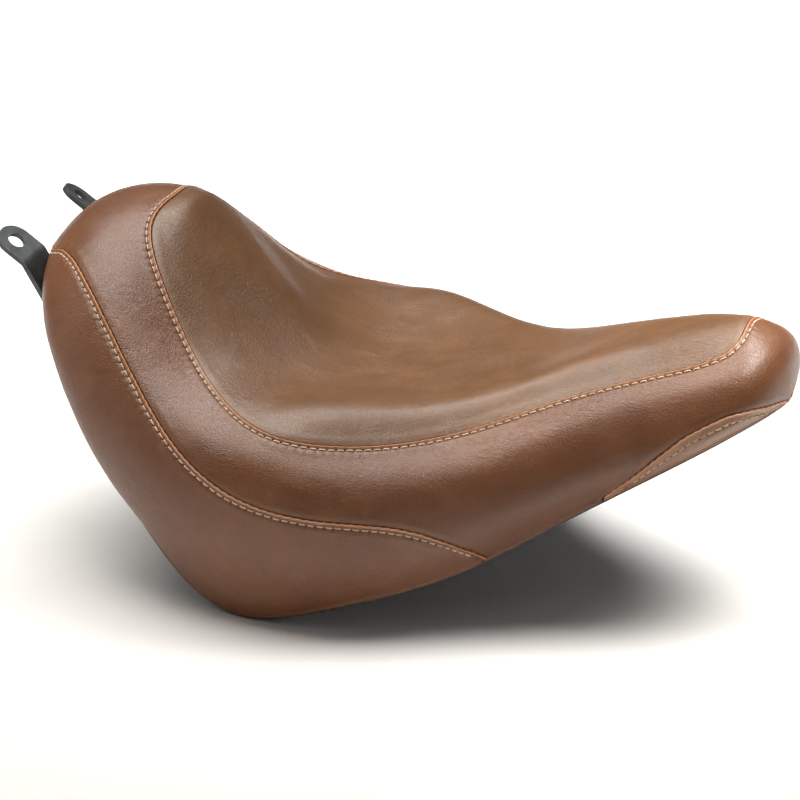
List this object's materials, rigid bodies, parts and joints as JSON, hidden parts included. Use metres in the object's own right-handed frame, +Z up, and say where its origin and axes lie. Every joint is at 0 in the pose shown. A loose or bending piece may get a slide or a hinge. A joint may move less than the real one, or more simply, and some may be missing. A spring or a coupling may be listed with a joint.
{
  "type": "motorcycle seat",
  "caption": "Solo motorcycle seat with a raised rear bolster, dished centre and narrow nose: moulded pan, foam, stitched leather panels and steel mounting tabs.",
  "frame": {"origin": "centre of the bounding box in plan, on its bottom face, which is the lowest point of the edge trim at the flanks", "axes": "+X to the nose of the seat, +Y to the rider's left, +Z up"},
  "size_m": [0.6076, 0.3956, 0.2622],
  "materials": {
    "leather_insert": "semi-gloss, aged brown",
    "leather_band": "semi-gloss, aged brown",
    "leather_back": "suede back",
    "thread": "waxed thread",
    "foam": "moulded polyurethane foam",
    "pan": "black, fine texture",
    "rubber": "black",
    "bracket_steel": "phosphated grey",
    "zinc_steel": "zinc plated"
  },
  "bodies": {
    "root": {"base_pan": "pan", "bracket_nuts": "zinc_steel", "bracket_screws": "zinc_steel", "bracket_spacers": "zinc_steel", "bracket_washers": "zinc_steel", "cover_nose_gusset_left": "leather_band", "cover_nose_gusset_right": "leather_band", "cover_seat_insert": "leather_insert", "cover_side_band": "leather_band", "cover_skirt": "leather_band", "edge_trim": "rubber", "foam_core": "foam", "hem_strip": "leather_back", "hem_tacks": "zinc_steel", "nose_tongue": "bracket_steel", "rear_bracket_left": "bracket_steel", "rear_bracket_right": "bracket_steel", "rubber_bumpers": "rubber", "thread_insert_seam": "thread", "thread_nose_seam_left": "thread", "thread_nose_seam_right": "thread", "thread_skirt_seam": "thread", "tongue_rivets": "zinc_steel"}
  },
  "joints": []
}
